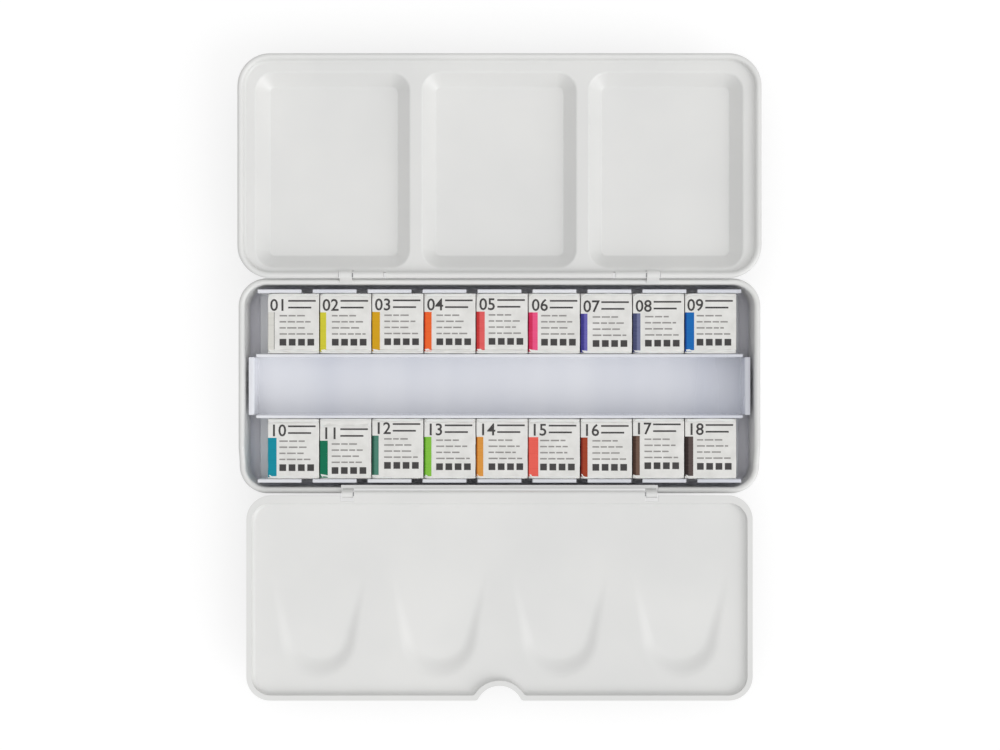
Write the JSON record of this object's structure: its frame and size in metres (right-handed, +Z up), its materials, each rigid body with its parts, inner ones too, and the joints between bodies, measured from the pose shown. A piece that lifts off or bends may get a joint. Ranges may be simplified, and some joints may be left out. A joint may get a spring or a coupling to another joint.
{
  "type": "watercolour paint set",
  "caption": "Flat enamelled metal paint box, open, with a lid with mixing wells, a fold-out mixing flap with thumb wells, and wrapped half pans in rows beside a brush channel.",
  "frame": {"origin": "middle of the open set's footprint, on the surface that it stands on", "axes": "+X right along the rows of pans, +Y towards the open lid, +Z up"},
  "size_m": [0.1624, 0.2008, 0.0184],
  "materials": {
    "enamel": "glossy white stoving enamel",
    "holder_lacquer": "satin pale lilac lacquer",
    "steel_wire": "drawn wire",
    "wrapper_paper": "coated paper, slightly glossy",
    "pan_plastic": "moulded white polystyrene",
    "paint_cream_white": "dry watercolour cake",
    "paint_lemon_yellow": "dry watercolour cake",
    "paint_indian_yellow": "dry watercolour cake",
    "paint_orange": "dry watercolour cake",
    "paint_brilliant_red": "dry watercolour cake",
    "paint_magenta": "dry watercolour cake",
    "paint_ultramarine": "dry watercolour cake",
    "paint_prussian_blue": "dry watercolour cake",
    "paint_cyan_blue": "dry watercolour cake",
    "paint_cobalt_turquoise": "dry watercolour cake",
    "paint_brilliant_green": "dry watercolour cake",
    "paint_dark_green": "dry watercolour cake",
    "paint_may_green": "dry watercolour cake",
    "paint_yellow_ochre": "dry watercolour cake",
    "paint_gold_pink": "dry watercolour cake",
    "paint_burnt_sienna": "dry watercolour cake",
    "paint_dark_brown": "dry watercolour cake",
    "paint_black": "dry watercolour cake"
  },
  "bodies": {
    "base": {"base_tin": "enamel", "lid_hinge_pins": "steel_wire", "flap_hinge_pin": "steel_wire"},
    "lid": {"lid": "enamel"},
    "mixing_flap": {"mixing_flap": "enamel"},
    "pan_holder": {"pan_holder": "holder_lacquer"},
    "pan_cream_white": {"wrapper_cream_white": "wrapper_paper", "half_pan_cream_white": "pan_plastic", "paint_cream_white": "paint_cream_white"},
    "pan_lemon_yellow": {"wrapper_lemon_yellow": "wrapper_paper", "half_pan_lemon_yellow": "pan_plastic", "paint_lemon_yellow": "paint_lemon_yellow"},
    "pan_indian_yellow": {"wrapper_indian_yellow": "wrapper_paper", "half_pan_indian_yellow": "pan_plastic", "paint_indian_yellow": "paint_indian_yellow"},
    "pan_orange": {"wrapper_orange": "wrapper_paper", "half_pan_orange": "pan_plastic", "paint_orange": "paint_orange"},
    "pan_brilliant_red": {"wrapper_brilliant_red": "wrapper_paper", "half_pan_brilliant_red": "pan_plastic", "paint_brilliant_red": "paint_brilliant_red"},
    "pan_magenta": {"wrapper_magenta": "wrapper_paper", "half_pan_magenta": "pan_plastic", "paint_magenta": "paint_magenta"},
    "pan_ultramarine": {"wrapper_ultramarine": "wrapper_paper", "half_pan_ultramarine": "pan_plastic", "paint_ultramarine": "paint_ultramarine"},
    "pan_prussian_blue": {"wrapper_prussian_blue": "wrapper_paper", "half_pan_prussian_blue": "pan_plastic", "paint_prussian_blue": "paint_prussian_blue"},
    "pan_cyan_blue": {"wrapper_cyan_blue": "wrapper_paper", "half_pan_cyan_blue": "pan_plastic", "paint_cyan_blue": "paint_cyan_blue"},
    "pan_cobalt_turquoise": {"wrapper_cobalt_turquoise": "wrapper_paper", "half_pan_cobalt_turquoise": "pan_plastic", "paint_cobalt_turquoise": "paint_cobalt_turquoise"},
    "pan_brilliant_green": {"wrapper_brilliant_green": "wrapper_paper", "half_pan_brilliant_green": "pan_plastic", "paint_brilliant_green": "paint_brilliant_green"},
    "pan_dark_green": {"wrapper_dark_green": "wrapper_paper", "half_pan_dark_green": "pan_plastic", "paint_dark_green": "paint_dark_green"},
    "pan_may_green": {"wrapper_may_green": "wrapper_paper", "half_pan_may_green": "pan_plastic", "paint_may_green": "paint_may_green"},
    "pan_yellow_ochre": {"wrapper_yellow_ochre": "wrapper_paper", "half_pan_yellow_ochre": "pan_plastic", "paint_yellow_ochre": "paint_yellow_ochre"},
    "pan_gold_pink": {"wrapper_gold_pink": "wrapper_paper", "half_pan_gold_pink": "pan_plastic", "paint_gold_pink": "paint_gold_pink"},
    "pan_burnt_sienna": {"wrapper_burnt_sienna": "wrapper_paper", "half_pan_burnt_sienna": "pan_plastic", "paint_burnt_sienna": "paint_burnt_sienna"},
    "pan_dark_brown": {"wrapper_dark_brown": "wrapper_paper", "half_pan_dark_brown": "pan_plastic", "paint_dark_brown": "paint_dark_brown"},
    "pan_black": {"wrapper_black": "wrapper_paper", "half_pan_black": "pan_plastic", "paint_black": "paint_black"}
  },
  "joints": [
    {"name": "lid_hinge", "type": "hinge", "parent": "base", "child": "lid", "pos_m": [0, 0.0317, 0.017], "axis": [-1, 0, 0], "range_deg": [-180, 0]},
    {"name": "flap_hinge", "type": "hinge", "parent": "base", "child": "mixing_flap", "pos_m": [0, -0.03639, 0.01485], "axis": [1, 0, 0], "range_deg": [-180, 0]},
    {"name": "holder_lift", "type": "slide", "parent": "base", "child": "pan_holder", "axis": [0, 0, 1], "range_m": [0, 0.02]},
    {"name": "cream_white_lift", "type": "slide", "parent": "pan_holder", "child": "pan_cream_white", "axis": [0, 0, 1], "range_m": [0, 0.02]},
    {"name": "lemon_yellow_lift", "type": "slide", "parent": "pan_holder", "child": "pan_lemon_yellow", "axis": [0, 0, 1], "range_m": [0, 0.02]},
    {"name": "indian_yellow_lift", "type": "slide", "parent": "pan_holder", "child": "pan_indian_yellow", "axis": [0, 0, 1], "range_m": [0, 0.02]},
    {"name": "orange_lift", "type": "slide", "parent": "pan_holder", "child": "pan_orange", "axis": [0, 0, 1], "range_m": [0, 0.02]},
    {"name": "brilliant_red_lift", "type": "slide", "parent": "pan_holder", "child": "pan_brilliant_red", "axis": [0, 0, 1], "range_m": [0, 0.02]},
    {"name": "magenta_lift", "type": "slide", "parent": "pan_holder", "child": "pan_magenta", "axis": [0, 0, 1], "range_m": [0, 0.02]},
    {"name": "ultramarine_lift", "type": "slide", "parent": "pan_holder", "child": "pan_ultramarine", "axis": [0, 0, 1], "range_m": [0, 0.02]},
    {"name": "prussian_blue_lift", "type": "slide", "parent": "pan_holder", "child": "pan_prussian_blue", "axis": [0, 0, 1], "range_m": [0, 0.02]},
    {"name": "cyan_blue_lift", "type": "slide", "parent": "pan_holder", "child": "pan_cyan_blue", "axis": [0, 0, 1], "range_m": [0, 0.02]},
    {"name": "cobalt_turquoise_lift", "type": "slide", "parent": "pan_holder", "child": "pan_cobalt_turquoise", "axis": [0, 0, 1], "range_m": [0, 0.02]},
    {"name": "brilliant_green_lift", "type": "slide", "parent": "pan_holder", "child": "pan_brilliant_green", "axis": [0, 0, 1], "range_m": [0, 0.02]},
    {"name": "dark_green_lift", "type": "slide", "parent": "pan_holder", "child": "pan_dark_green", "axis": [0, 0, 1], "range_m": [0, 0.02]},
    {"name": "may_green_lift", "type": "slide", "parent": "pan_holder", "child": "pan_may_green", "axis": [0, 0, 1], "range_m": [0, 0.02]},
    {"name": "yellow_ochre_lift", "type": "slide", "parent": "pan_holder", "child": "pan_yellow_ochre", "axis": [0, 0, 1], "range_m": [0, 0.02]},
    {"name": "gold_pink_lift", "type": "slide", "parent": "pan_holder", "child": "pan_gold_pink", "axis": [0, 0, 1], "range_m": [0, 0.02]},
    {"name": "burnt_sienna_lift", "type": "slide", "parent": "pan_holder", "child": "pan_burnt_sienna", "axis": [0, 0, 1], "range_m": [0, 0.02]},
    {"name": "dark_brown_lift", "type": "slide", "parent": "pan_holder", "child": "pan_dark_brown", "axis": [0, 0, 1], "range_m": [0, 0.02]},
    {"name": "black_lift", "type": "slide", "parent": "pan_holder", "child": "pan_black", "axis": [0, 0, 1], "range_m": [0, 0.02]}
  ]
}
